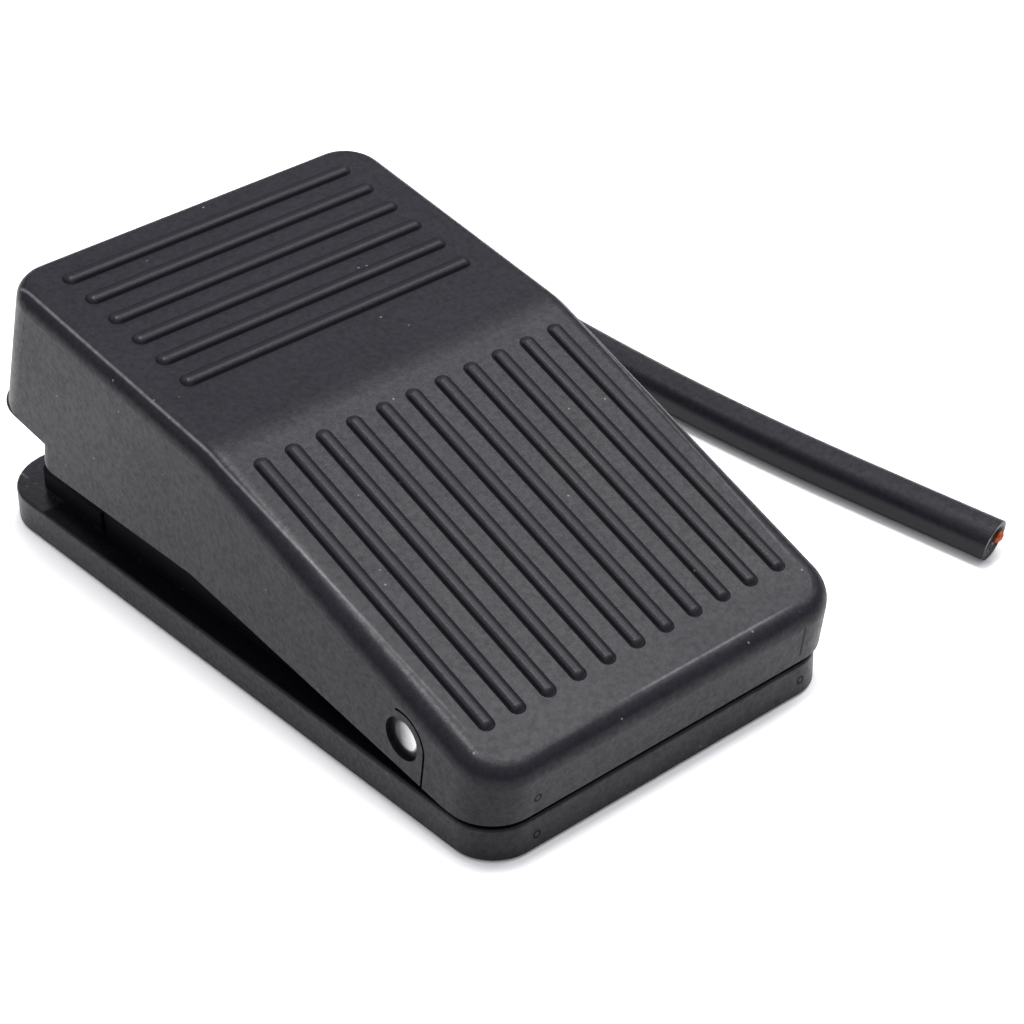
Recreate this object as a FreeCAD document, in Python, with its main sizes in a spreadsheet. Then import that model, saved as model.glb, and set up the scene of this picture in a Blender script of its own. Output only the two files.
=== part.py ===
import FreeCAD, Part
import math
import os
import Sketcher

# Foot pedal switch: a moulded tray with a snap switch inside, under a hinged ribbed cover.
# Frame: millimetres, +X to the right of the foot, +Y from heel to toe, +Z up,
# the origin on the floor under the middle of the whole object.

doc = FreeCAD.newDocument("foot_pedal")
V = FreeCAD.Vector
FINISHED = []

# Driving dimensions

DRIVING = [
    # tray
    ("cover_over", 0.6), ("foot_show", 0.4), ("rim_top", 4.85), ("floor_thick", 2.0), ("rim_edge", 0.5),
    ("tray_heel_corner", 5.8), ("tray_toe_corner", 8.2), ("ledge_side", 3.4), ("ledge_toe", 5.35),
    ("inner_top", 11.0), ("inner_wall", 2.0), ("inner_corner", 4.0), ("deck_len", 13.2),
    ("deck_corner", 3.0), ("deck_gap", 0.3), ("pad_high", 0.35), ("pad_deep", 2.4),
    ("pad_left_x", -14.9), ("pad_left_wid", 5.4), ("pad_right_x", 14.2), ("pad_right_wid", 2.2),
    # hinge
    ("hinge_from_heel", 14.05), ("hinge_z", 11.73), ("pin_rad", 2.0), ("pin_recess", 0.7),
    ("pin_mouth_rad", 2.8), ("ear_rad", 3.9), ("lug_rad", 3.6), ("lug_wid", 4.0), ("turn_gap", 0.05),
    ("side_gap", 0.3), ("wall_gap", 0.4),
    # cover, in its own frame: u along the cover from the hinge, w square to it
    ("rest_pitch", 8.9), ("press_swing", 4.5), ("cover_wid", 56.4), ("cover_wall", 2.0),
    ("heel_reach", 15.2), ("crease_reach", 38.2), ("toe_reach", 83.3), ("toe_lean", 7.9),
    ("top_high", 15.5), ("top_slope", 12.2), ("heel_drop", 3.6), ("skirt_drop", 4.5),
    ("skirt_bend", 40.0), ("lobe_reach", 72.9), ("lobe_round", 3.2), ("brow_drop", 5.35),
    ("lip_out", 0.4), ("lip_high", 0.4), ("cover_heel_corner", 6.1), ("cover_toe_corner", 5.7),
    ("lip_slope", 0.25), ("lobe_corner", 2.6), ("crease_round", 14.0), ("cover_edge", 2.6),
    ("hollow_edge", 1.0), ("ear_line", 0.35), ("ear_line_deep", 0.3), ("ear_line_reach", 1.5),
    ("press_play", 0.6),
    # grip ribs
    ("rib_rad", 1.3), ("rib_show", 0.65), ("rib_side", 5.6), ("rib_toe", 5.65), ("rib_crease", 11.98),
    ("cross_ribs", 6.0), ("long_rib_side", 5.365), ("long_rib_crease", 3.46), ("long_rib_heel", 6.39),
    ("long_ribs", 11.0),
    # return spring
    ("spring_from_hinge", 43.35), ("spring_rad", 4.05), ("spring_wire", 0.9), ("spring_turns", 7.0),
    ("spring_low", 5.4), ("spring_high", 25.0), ("seat_rad", 5.6), ("post_rad", 3.0), ("post_len", 4.0),
    # snap switch
    ("tab_room", 2.549), ("bracket_thick", 4.2), ("switch_len", 27.8), ("switch_wid", 10.3),
    ("switch_high", 15.9), ("switch_low", 4.6), ("switch_wall", 1.4), ("switch_lid", 1.5),
    ("switch_pad_len", 3.0), ("screw_inset", 2.8), ("screw_low", 2.5), ("screw_high", 3.1),
    ("screw_rad", 1.5), ("screw_play", 0.05), ("screw_boss", 2.1), ("screw_bite", 2.4),
    ("head_rad", 2.75), ("head_high", 1.7), ("drive_rad", 0.9625), ("tab_wid", 4.75),
    ("tab_thick", 0.6), ("tab_out", 6.4), ("tab_low", 0.8), ("tab_grip", 4.0), ("contact_rad", 1.2),
    ("contact_high", 0.6), ("strip_past", 2.0), ("arm_thick", 0.4), ("arm_wid", 3.6),
    ("arm_below_top", 7.0), ("arm_from_end", 4.0), ("arm_roll_rad", 0.4), ("contact_u", 3.5),
    ("arm_drop", 1.94), ("touch_gap", 0.25), ("plunger_rad", 1.6), ("plunger_tip", 0.8),
    ("plunger_arm", 7.0), ("plunger_show", 2.15), ("tip_high", 0.75), ("lever_pivot_u", 2.0),
    ("lever_pivot_w", 1.0), ("lever_rest", 14.0), ("lever_len", 22.5), ("lever_wid", 4.4),
    ("lever_thick", 0.5), ("lever_roll_rad", 0.9), ("lever_pin_rad", 0.5), ("lever_lug", 1.3),
    ("striker_arm", 20.0), ("striker_rad", 1.5), ("striker_wid", 5.0), ("striker_gap", 0.3),
    # cable, its bushing and its clamp
    ("cable_x", 0.0), ("cable_rad", 2.9), ("exit_z", 6.3), ("bush_rad", 3.4), ("bush_flange", 3.8),
    ("bush_flange_thick", 1.2), ("bush_frame", 2.0), ("trough_play", 0.6), ("cable_in", 8.0),
    ("clamp_from_wall", 3.0), ("clamp_len", 4.5), ("clamp_wid", 13.2), ("clamp_high", 2.4),
    ("clamp_bite", 1.2), ("clamp_screw_x", 4.9), ("clamp_screw_rad", 1.1), ("clamp_head", 1.9),
    ("clamp_head_high", 1.2), ("clamp_leg_rad", 2.05), ("core_rad", 0.9), ("core_side", 0.95),
    # up-stop hook and feet
    ("stop_x", -12.0), ("stop_wid", 7.0), ("stop_top", 17.8), ("stop_lip", 1.2), ("stop_thick", 1.8),
    ("stop_gap", 0.3), ("stop_play", 1.515), ("foot_rad", 4.0), ("foot_sink", 0.5), ("foot_inset", 8.5),
]

# Sizes that follow from the driving ones

DERIVED = [
    # the cover's heel front, and from its lobe at the toe end the tray's length
    ("heel_top", "top_high - (heel_reach + crease_reach) * tan(top_slope)"),
    ("heel_front", "(heel_reach - cover_edge) * cos(rest_pitch) + cover_edge"
     " + (heel_top - cover_edge * tan(45 - top_slope / 2)) * sin(rest_pitch)"),
    ("lobe_drop", "skirt_drop + (lobe_reach - skirt_bend) * tan(rest_pitch)"),
    ("lobe_in", "(lobe_reach - cover_wall) / cos(rest_pitch) - (stop_top - hinge_z) * tan(rest_pitch)"),
    ("inner_reach", "lobe_in - stop_lip - stop_play"),
    ("back_reach", "inner_reach + deck_len + ledge_toe"),
    ("hinge_y", "(heel_front - back_reach) / 2"),
    ("tray_front", "hinge_y - hinge_from_heel"), ("tray_back", "hinge_y + back_reach"),
    ("tray_wid", "cover_wid - 2 * cover_over"), ("floor_top", "foot_show + floor_thick"),
    ("inner_x", "tray_wid / 2 - ledge_side"), ("inner_front", "tray_front + ledge_side"),
    ("inner_back", "hinge_y + inner_reach"), ("room_back", "inner_back - inner_wall"),
    ("deck_back", "inner_back + deck_len"),
    ("deck_top", "hinge_z + lobe_reach * sin(rest_pitch - press_swing)"
     " - lobe_drop * cos(rest_pitch - press_swing) - deck_gap"),
    ("ear_inner_x", "inner_x + wall_gap"), ("pin_half", "cover_wid / 2 - pin_recess"),
    ("foot_x", "tray_wid / 2 - foot_inset"), ("spring_y", "hinge_y + spring_from_hinge"),
    # ribs
    ("cross_rib_len", "cover_wid - 2 * rib_side"),
    ("cross_rib_first", "toe_reach - (top_high + brow_drop) * tan(toe_lean) - rib_toe"),
    ("cross_rib_step", "(cross_rib_first - crease_reach - rib_crease) / (cross_ribs - 1)"),
    ("long_rib_step", "(cover_wid - 2 * long_rib_side) / (long_ribs - 1)"),
    ("long_rib_top", "crease_reach - long_rib_crease"),
    ("long_rib_len", "(long_rib_top + heel_reach - long_rib_heel) / cos(top_slope)"),
    # snap switch
    ("sw_end", "room_back - tab_out - tab_room"), ("sw_y", "sw_end - switch_len"),
    ("sw_top", "switch_low + switch_high"), ("sw_left", "-inner_x + bracket_thick"),
    ("switch_x", "sw_left + switch_wid / 2"), ("sw_right", "sw_left + switch_wid"),
    ("sw_open", "sw_right - switch_lid"),
    ("screw_y_a", "sw_y + screw_inset"), ("screw_z_a", "switch_low + screw_low"),
    ("screw_y_b", "sw_end - screw_inset"), ("screw_z_b", "sw_top - screw_high"),
    ("tab_left", "switch_x - tab_wid / 2"), ("tab_right", "switch_x + tab_wid / 2"),
    ("arm_z", "sw_top - arm_below_top"), ("arm_pivot_y", "sw_end - arm_from_end"),
    ("contact_y", "sw_y + contact_u"), ("strip_end", "contact_y + strip_past"),
    ("arm_low", "arm_z - arm_thick / 2"), ("arm_high", "arm_z + arm_thick / 2"),
    ("open_top", "arm_low - contact_high - arm_drop - touch_gap - contact_high"),
    ("closed_low", "arm_high + contact_high + touch_gap + contact_high"),
    ("common_low", "switch_low + switch_wall + tab_low"),
    ("pivot_y", "sw_y + lever_pivot_u"), ("pivot_z", "sw_top + lever_pivot_w"),
    ("plunger_y", "pivot_y + plunger_arm"), ("tip_top", "sw_top + plunger_show"),
    ("lever_left", "switch_x - lever_wid / 2"), ("lever_right", "switch_x + lever_wid / 2"),
    ("striker_y", "pivot_y + striker_arm"),
    ("striker_z", "pivot_z + striker_arm * tan(lever_rest)"
     " + (lever_thick / 2 + striker_rad + striker_gap) / cos(lever_rest)"),
    # cable
    ("bush_out", "inner_back + bush_flange_thick"), ("cable_start", "room_back - bush_flange_thick"),
    ("cable_end", "cable_start - cable_in"), ("clamp_back", "cable_start - clamp_from_wall"),
    ("clamp_y", "clamp_back - clamp_len / 2"), ("clamp_z", "exit_z + cable_rad - clamp_high + clamp_bite"),
    ("clamp_top", "clamp_z + clamp_high"),
]

sheet = doc.addObject("Spreadsheet::Sheet", "dims")
for line, (alias, value) in enumerate(DRIVING, start=1):
    sheet.set("A%d" % line, alias)
    sheet.set("B%d" % line, str(value))
    sheet.setAlias("B%d" % line, alias)
for line, (alias, formula) in enumerate(DERIVED, start=1):
    sheet.set("D%d" % line, alias)
    sheet.set("E%d" % line, "=" + formula)
    sheet.setAlias("E%d" % line, alias)
doc.recompute()


def size(alias):
    return float(sheet.get(alias))


def bind(thing, path, formula):
    words = []
    word = ""
    for letter in str(formula) + " ":
        if letter.isalnum() or letter == "_":
            word += letter
            continue
        words.append("dims." + word if word in ALIASES else word)
        words.append(letter)
        word = ""
    thing.setExpression(path, "".join(words))


ALIASES = {alias for alias, _ in DRIVING} | {alias for alias, _ in DERIVED}


def move(thing, x, y, z):
    for axis, formula in zip("xyz", (x, y, z)):
        bind(thing, "Placement.Base." + axis, formula)


def turn(thing, axis, angle):
    thing.Placement = FreeCAD.Placement(V(0, 0, 0), FreeCAD.Rotation(axis, 1))
    bind(thing, "Placement.Rotation.Angle", "(%s) * 1 deg" % angle)


# Simple solids

def box(name, low, high):
    solid = doc.addObject("Part::Box", name)
    for side, start, end in zip(("Length", "Width", "Height"), low, high):
        bind(solid, side, "(%s) - (%s)" % (end, start))
    move(solid, *low)
    return solid


def rod(name, axis, radius, low, high, across):
    """A cylinder along X, Y or Z from low to high; across gives its other two coordinates."""
    solid = doc.addObject("Part::Cylinder", name)
    bind(solid, "Radius", radius)
    bind(solid, "Height", "(%s) - (%s)" % (high, low))
    if axis == "X":
        solid.Placement = FreeCAD.Placement(V(0, 0, 0), FreeCAD.Rotation(V(0, 1, 0), 90))
        move(solid, low, *across)
    elif axis == "Y":
        solid.Placement = FreeCAD.Placement(V(0, 0, 0), FreeCAD.Rotation(V(1, 0, 0), -90))
        move(solid, across[0], low, across[1])
    else:
        move(solid, *across, low)
    return solid


def fuse(name, *solids):
    joined = doc.addObject("Part::MultiFuse", name)
    joined.Shapes = list(solids)
    return joined


def cut(name, base, *tools):
    result = doc.addObject("Part::Cut", name)
    result.Base = base
    result.Tool = tools[0] if len(tools) == 1 else fuse(name + "_tools", *tools)
    return result


def common(name, first, second):
    shared = doc.addObject("Part::Common", name)
    shared.Base = first
    shared.Tool = second
    return shared


def finish(thing, label):
    thing.Label = label
    FINISHED.append(thing)
    return thing


# Sketched solids

def plane(body, role):
    return next(part for part in body.Origin.OriginFeatures if part.Role == role)


def outline(body, role, points):
    """A closed polygon on an origin plane, every corner held by two formulas."""
    sketch = body.newObject("Sketcher::SketchObject", body.Name + "_outline")
    sketch.AttachmentSupport = [(plane(body, role), "")]
    sketch.MapMode = "FlatFace"
    count = len(points)
    spots = [V(evaluate(u), evaluate(w), 0) for u, w in points]
    for i in range(count):
        sketch.addGeometry(Part.LineSegment(spots[i], spots[(i + 1) % count]), False)
    for i in range(count):
        sketch.addConstraint(Sketcher.Constraint("Coincident", i, 2, (i + 1) % count, 1))
    for i, (u, w) in enumerate(points):
        for kind, formula, spot in (("DistanceX", u, spots[i].x), ("DistanceY", w, spots[i].y)):
            index = sketch.addConstraint(Sketcher.Constraint(kind, -1, 1, i, 1, spot))
            bind(sketch, "Constraints[%d]" % index, formula)
    return sketch


def evaluate(formula):
    """The number behind a formula, worked out in a spare cell."""
    sheet.set("G1", "=" + str(formula))
    sheet.recompute()
    return float(sheet.get("G1"))


def pad(body, sketch, length, both_ways):
    feature = body.newObject("PartDesign::Pad", body.Name + "_pad")
    feature.Profile = sketch
    bind(feature, "Length", length)
    if both_ways:
        feature.SideType = "Symmetric"
    doc.recompute()
    return feature


def round_edges(body, base, radius, test):
    """Fillet every edge of the last feature that passes the test."""
    names = ["Edge%d" % (i + 1) for i, edge in enumerate(base.Shape.Edges) if test(edge)]
    feature = body.newObject("PartDesign::Fillet", "%s_round_%d" % (body.Name, len(body.Group)))
    feature.Base = (base, names)
    bind(feature, "Radius", radius)
    doc.recompute()
    return feature


def upright(edge, y_side, lean=0.95):
    """True for a straight edge that stands up, on one side of a place along Y."""
    if len(edge.Vertexes) < 2 or edge.Curve.TypeId != "Part::GeomLine":
        return False
    run = edge.Vertexes[1].Point - edge.Vertexes[0].Point
    if abs(run.z) < lean * run.Length:
        return False
    return (edge.CenterOfMass.y - y_side[0]) * y_side[1] > 0


def slab(name, x_low, x_high, y_low, y_high, z_low, z_high, heel_corner, toe_corner, rim=None):
    """An upright block with rounded corners, one radius at the heel end (or none) and one at the toe end."""
    body = doc.addObject("PartDesign::Body", name)
    corners = [(x_low, y_low), (x_high, y_low), (x_high, y_high), (x_low, y_high)]
    sketch = outline(body, "XY_Plane", corners)
    feature = pad(body, sketch, "(%s) - (%s)" % (z_high, z_low), False)
    middle = (evaluate(y_low) + evaluate(y_high)) / 2
    if heel_corner:
        feature = round_edges(body, feature, heel_corner, lambda edge: upright(edge, y_side=(middle, -1)))
    feature = round_edges(body, feature, toe_corner, lambda edge: upright(edge, y_side=(middle, 1)))
    if rim:
        top = feature.Shape.BoundBox.ZMax
        round_edges(body, feature, rim, lambda edge: edge.BoundBox.ZMin > top - 1e-4)
    bind(body, "Placement.Base.z", z_low)
    return body


# The cover's own frame, tilted up about the hinge at rest

def cover_y(u, w):
    return "hinge_y + (%s) * cos(rest_pitch) - (%s) * sin(rest_pitch)" % (u, w)


def cover_z(u, w):
    return "hinge_z + (%s) * sin(rest_pitch) + (%s) * cos(rest_pitch)" % (u, w)


def tilt(thing, u="0", w="0", extra="0"):
    turn(thing, V(1, 0, 0), "rest_pitch + (%s)" % extra)
    move(thing, "0", cover_y(u, w), cover_z(u, w))


def cover_block(name, inset, wid, heel_corner, toe_corner, lobe_corner, edge_round, low=None):
    """The cover's outer form, or with an inset its hollow, open below."""
    body = doc.addObject("PartDesign::Body", name)
    front = "-heel_reach + (%s)" % inset
    lift = "(%s)" % inset
    top = "top_high - " + lift
    heel = "heel_top + %s * tan(top_slope) - %s / cos(top_slope)" % (lift, lift)
    crease = "crease_reach + %s * tan(top_slope / 2)" % lift
    shift = "%s / cos(toe_lean)" % lift
    toe_top = "toe_reach - (top_high - %s + brow_drop) * tan(toe_lean) - %s" % (lift, shift)
    toe_low = "toe_reach - %s * tan(toe_lean) - %s" % (lift, shift)
    brow = "-brow_drop + " + lift
    lobe = "lobe_reach - " + lift
    if low is None:
        foot = [(lobe, "-lobe_drop"), ("skirt_bend", "-skirt_drop"), ("-heel_reach / 2", "-skirt_drop"),
                (front, "-heel_drop")]
    else:
        foot = [(lobe, low), (front, low)]
    upper = [(front, heel), (crease, top), (toe_top, top), (toe_low, brow), (lobe, brow)]
    sketch = outline(body, "YZ_Plane", foot + upper)
    feature = pad(body, sketch, wid, True)
    feature = round_edges(body, feature, heel_corner, lambda edge: upright(edge, y_side=(0, -1)))
    toe = size("lobe_reach") + 1
    feature = round_edges(body, feature, toe_corner, lambda edge: upright(edge, y_side=(toe, 1)))
    step = size("lobe_reach") - size("cover_wall") - 1
    feature = round_edges(body, feature, lobe_corner, lambda edge: upright(edge, y_side=(step, 1))
                          and edge.CenterOfMass.y < toe - 0.5)
    crease_y = evaluate(crease)
    feature = round_edges(body, feature, "crease_round",
                          lambda edge: abs(edge.CenterOfMass.y - crease_y) < 0.01
                          and abs(edge.CenterOfMass.x) < 0.01 and edge.CenterOfMass.z > 5)
    feature = round_edges(body, feature, edge_round, lambda edge: on_brow(feature.Shape, edge))
    tilt(body)
    return body


def on_brow(shape, edge):
    """True for an edge between the top of the cover and one of its walls."""
    faces = shape.ancestorsOfType(edge, Part.Face)
    if len(faces) != 2:
        return False
    tops = [face_rise(face) > 0.9 for face in faces]
    return tops[0] != tops[1] and edge.CenterOfMass.z > 0


def face_rise(face):
    low_u, high_u, low_v, high_v = face.ParameterRange
    return face.normalAt((low_u + high_u) / 2, (low_v + high_v) / 2).z


# Cover: a moulded shell with grip ribs, hinge ears, a striker, a spring seat and a hook

def rib_row(name, axis, length, step, count, u, w, extra, side_step):
    """A row of half-sunk round bars with rounded ends, on one face of the cover."""
    body = doc.addObject("PartDesign::Body", name)
    corners = [("-(%s) / 2" % length, "0"), ("%s / 2" % length, "0"), ("%s / 2" % length, "rib_rad"),
               ("-(%s) / 2" % length, "rib_rad")]
    if axis == "Y_Axis":
        corners = [(w, u) for u, w in reversed(corners)]
    sketch = outline(body, "XY_Plane", corners)
    bar = body.newObject("PartDesign::Revolution", name + "_bar")
    bar.Profile = sketch
    bar.ReferenceAxis = (plane(body, axis), [""])
    bar.Angle = 360
    doc.recompute()
    bar = round_edges(body, bar, "rib_rad * 0.9", lambda edge: edge.Curve.TypeId == "Part::GeomCircle")
    row = body.newObject("PartDesign::LinearPattern", name + "_row")
    row.TransformMode = "Whole shape"
    row.Direction = (plane(body, "X_Axis" if axis == "Y_Axis" else "Y_Axis"), [""])
    row.Mode = "Spacing"
    bind(row, "Offset", step)
    row.Occurrences = int(size(count))
    row.Reversed = axis != "Y_Axis"
    body.Tip = row
    doc.recompute()
    tilt(body, u, w, extra)
    bind(body, "Placement.Base.x", side_step)
    return body


cover_form = cover_block("cover_form", "0", "cover_wid", "cover_heel_corner", "cover_toe_corner",
                         "lobe_corner", "cover_edge")
cover_hollow = cover_block("cover_hollow", "cover_wall", "cover_wid - 2 * cover_wall",
                           "cover_heel_corner - cover_wall", "cover_toe_corner - cover_wall",
                           "lobe_corner / 3", "hollow_edge", low="-3 * lobe_drop")


def brow_lip():
    """The flared edge under the toe wall: a thin slab with the cover's corners and a sloped upper edge."""
    body = doc.addObject("PartDesign::Body", "brow_lip")
    low = "toe_reach - 1.5 * cover_toe_corner"
    high = "toe_reach + lip_out"
    left = "-cover_wid / 2"
    right = "cover_wid / 2"
    corners = [(left, low), (right, low), (right, high), (left, high)]
    feature = pad(body, outline(body, "XY_Plane", corners), "lip_high", False)
    feature = round_edges(body, feature, "cover_toe_corner",
                          lambda edge: upright(edge, y_side=(size("toe_reach") - 1, 1)))
    slope = body.newObject("PartDesign::Chamfer", "brow_lip_slope")
    shape = feature.Shape
    top = shape.BoundBox.ZMax
    outer = shape.BoundBox.YMax
    names = ["Edge%d" % (i + 1) for i, edge in enumerate(shape.Edges)
             if edge.BoundBox.ZMin > top - 1e-4 and abs(edge.CenterOfMass.y - outer) < 1e-3]
    slope.Base = (feature, names)
    bind(slope, "Size", "lip_slope")
    doc.recompute()
    tilt(body, "0", "-brow_drop")
    return body


lip = brow_lip()
cross_rows = rib_row("cross_rows", "X_Axis", "cross_rib_len", "cross_rib_step", "cross_ribs",
                     "cross_rib_first", "top_high + rib_show - rib_rad", "0", "0")
half_rib = "long_rib_len / 2"
long_u = "long_rib_top - %s * cos(top_slope) + (rib_rad - rib_show) * sin(top_slope)" % half_rib
long_w = ("top_high - (crease_reach - long_rib_top + %s * cos(top_slope)) * tan(top_slope)"
          " - (rib_rad - rib_show) * cos(top_slope)" % half_rib)
long_rows = rib_row("long_rows", "Y_Axis", "long_rib_len", "long_rib_step", "long_ribs",
                    long_u, long_w, "top_slope", "-long_rib_step * (long_ribs - 1) / 2")

ears = [rod("ear_boss_%s" % side, "X", "ear_rad", low, high, ("hinge_y", "hinge_z"))
        for side, low, high in (("left", "-cover_wid / 2 + cover_wall / 2", "-ear_inner_x"),
                                ("right", "ear_inner_x", "cover_wid / 2 - cover_wall / 2"))]
striker_left = "switch_x - striker_wid / 2"
striker_right = "switch_x + striker_wid / 2"
at_striker = ("striker_y", "striker_z")
striker = fuse("striker",
               rod("striker_nose", "X", "striker_rad", striker_left, striker_right, at_striker),
               box("striker_web", (striker_left, "striker_y - striker_rad", "striker_z"),
                   (striker_right, "striker_y + striker_rad", "striker_z + 2 * top_high")))
at_spring = ("0", "spring_y")
spring_seat = fuse("spring_seat",
                   rod("cover_seat", "Z", "seat_rad", "spring_high", "spring_high + 2 * top_high", at_spring),
                   rod("cover_post", "Z", "post_rad", "spring_high - post_len", "spring_high + 1", at_spring))
hook_y = "inner_back + stop_lip / 2"
hook_top = "stop_top - stop_thick - stop_gap"
hook = box("cover_hook", ("stop_x - stop_wid / 2", hook_y, hook_top + " - stop_thick"),
           ("stop_x + stop_wid / 2", cover_y("lobe_reach - cover_wall / 2", "-lobe_drop"), hook_top))
inside = common("cover_inside", cover_form, fuse("cover_fittings", striker, spring_seat, hook, *ears))
cover_shell = cut("cover_shell", cover_form, cover_hollow)
cover_full = fuse("cover_full", cover_shell, inside, lip, cross_rows, long_rows)


def lobe_trim():
    """What lies outside the rounded lower corner of the lobe, seen from the side."""
    body = doc.addObject("PartDesign::Body", "lobe_wedge")
    u = "lobe_reach - lobe_round"
    w = "-lobe_drop + lobe_round * tan(rest_pitch) + lobe_round / cos(rest_pitch)"
    corners = [(u, w), ("lobe_reach + 1", w), ("lobe_reach + 1", "-lobe_drop - 1"),
               (u + " - (lobe_round + 1) * sin(rest_pitch)", w + " - (lobe_round + 1) * cos(rest_pitch)")]
    pad(body, outline(body, "YZ_Plane", corners), "2 * cover_wid", True)
    tilt(body)
    roller = rod("lobe_roller", "X", "lobe_round", "-cover_wid - 1", "cover_wid + 1",
                 (cover_y(u, w), cover_z(u, w)))
    return cut("lobe_trim", body, roller)


def ear_groove(side, low, high):
    """The fine line round an ear, left by the mould's insert."""
    half = "ear_line / 2"
    across = ("hinge_y", "hinge_z")
    ring = cut("ear_ring_" + side, rod("ear_ring_out_" + side, "X", "ear_rad + " + half, low, high, across),
               rod("ear_ring_in_" + side, "X", "ear_rad - " + half, low, high, across))
    keep = box("ear_ring_keep_" + side, (low, "-ear_rad - 1", "0"), (high, "ear_line_reach", "ear_rad + 1"))
    tilt(keep, "0", "0")
    bind(keep, "Placement.Base.x", low)
    bind(keep, "Placement.Base.y", cover_y("-ear_rad - 1", "0"))
    bind(keep, "Placement.Base.z", cover_z("-ear_rad - 1", "0"))
    line = doc.addObject("Part::Box", "ear_line_" + side)
    bind(line, "Length", "(%s) - (%s)" % (high, low))
    bind(line, "Width", "ear_line")
    bind(line, "Height", "skirt_drop + 1")
    tilt(line, "-ear_rad - " + half, "-skirt_drop - 1")
    bind(line, "Placement.Base.x", low)
    return fuse("ear_mark_" + side, common("ear_arc_" + side, ring, keep), line)


grooves = [ear_groove("left", "-cover_wid / 2 - 1", "-cover_wid / 2 + ear_line_deep"),
           ear_groove("right", "cover_wid / 2 - ear_line_deep", "cover_wid / 2 + 1")]
pin_bores = [rod("pin_bore", "X", "pin_rad", "-cover_wid", "cover_wid", ("hinge_y", "hinge_z")),
             rod("pin_mouth_left", "X", "pin_mouth_rad", "-cover_wid", "-pin_half", ("hinge_y", "hinge_z")),
             rod("pin_mouth_right", "X", "pin_mouth_rad", "pin_half", "cover_wid", ("hinge_y", "hinge_z"))]
cable_gap = box("cover_cable_gap", ("cable_x - bush_flange - bush_frame", "inner_back", "0"),
                ("cable_x + bush_flange + bush_frame", cover_y("lobe_reach", "-lobe_drop") + " + cover_wall",
                 "exit_z + cable_rad + lobe_reach * sin(press_swing) + press_play"))
finish(cut("pedal_cover_solid", cover_full, lobe_trim(), cable_gap, *(grooves + pin_bores)), "pedal_cover")

finish(rod("hinge_pin_solid", "X", "pin_rad", "-pin_half", "pin_half", ("hinge_y", "hinge_z")), "hinge_pin")

# Tray: rim, ledge, inner wall, hinge lugs, posts, pads and the hook's lip

rim = slab("tray_rim", "-tray_wid / 2", "tray_wid / 2", "tray_front", "tray_back", "foot_show", "rim_top",
           "tray_heel_corner", "tray_toe_corner", "rim_edge")
ring_out = slab("tray_ring", "-inner_x", "inner_x", "inner_front", "inner_back", "floor_top", "inner_top",
                "inner_corner", "inner_corner")
ring_in = slab("tray_room", "-inner_x + inner_wall", "inner_x - inner_wall", "inner_front + inner_wall",
               "room_back", "floor_top", "inner_top + 20", "inner_corner - inner_wall",
               "inner_corner - inner_wall")
deck = slab("toe_deck", "-inner_x", "inner_x", "room_back", "deck_back", "floor_top", "deck_top",
            None, "deck_corner")
rest_pads = [box("rest_pad_" + side, (low, "tray_front + rim_edge", "rim_top - 1"),
                 (high, "tray_front + pad_deep", "rim_top + pad_high"))
             for side, low, high in (("left", "pad_left_x", "pad_left_x + pad_left_wid"),
                                     ("right", "pad_right_x", "pad_right_x + pad_right_wid"))]
lugs = []
for side, low, high in (("left", "-inner_x", "-inner_x + lug_wid"),
                        ("right", "inner_x - lug_wid", "inner_x")):
    lugs.append(rod("lug_eye_" + side, "X", "lug_rad", low, high, ("hinge_y", "hinge_z")))
    lugs.append(box("lug_leg_" + side, (low, "hinge_y - lug_rad", "floor_top - 1"),
                    (high, "hinge_y + lug_rad", "hinge_z")))
bracket = box("switch_bracket", ("-inner_x", "sw_y - 1", "floor_top - 1"),
              ("sw_left", "sw_end + 1", "screw_z_b + head_rad"))
pads = [box("switch_pad_" + end, ("sw_left", low, "floor_top - 1"),
            ("sw_right", low + " + switch_pad_len", "switch_low"))
        for end, low in (("heel", "sw_y"), ("toe", "sw_end - 2 * switch_pad_len"))]
tray_seat = rod("tray_seat", "Z", "seat_rad", "floor_top - 1", "spring_low", at_spring)
tray_post = rod("tray_post", "Z", "post_rad", "floor_top - 1", "spring_low + post_len", at_spring)
bush_wall = box("bush_wall", ("cable_x - bush_flange - bush_frame", "room_back", "floor_top - 1"),
                ("cable_x + bush_flange + bush_frame", "inner_back", "exit_z + bush_flange + bush_frame"))
screw_sides = (("left", "cable_x - clamp_screw_x"), ("right", "cable_x + clamp_screw_x"))
clamp_legs = [rod("clamp_leg_" + side, "Z", "clamp_leg_rad", "floor_top - 1", "clamp_z", (x, "clamp_y"))
              for side, x in screw_sides]
stop_left = "stop_x - stop_wid / 2"
stop_right = "stop_x + stop_wid / 2"
stop_post = box("stop_post", (stop_left, "room_back", "floor_top - 1"),
                (stop_right, "inner_back", "stop_top"))
stop_nose = box("stop_nose", (stop_left, "room_back", "stop_top - stop_thick"),
                (stop_right, "inner_back + stop_lip", "stop_top"))
tray_full = fuse("tray_full", rim, ring_out, deck)
tray_open = cut("tray_open", tray_full, ring_in)
tray_built = fuse("tray_built", tray_open, bracket, tray_seat, tray_post, bush_wall, stop_post, stop_nose,
                  *(lugs + pads + clamp_legs + rest_pads))

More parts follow.
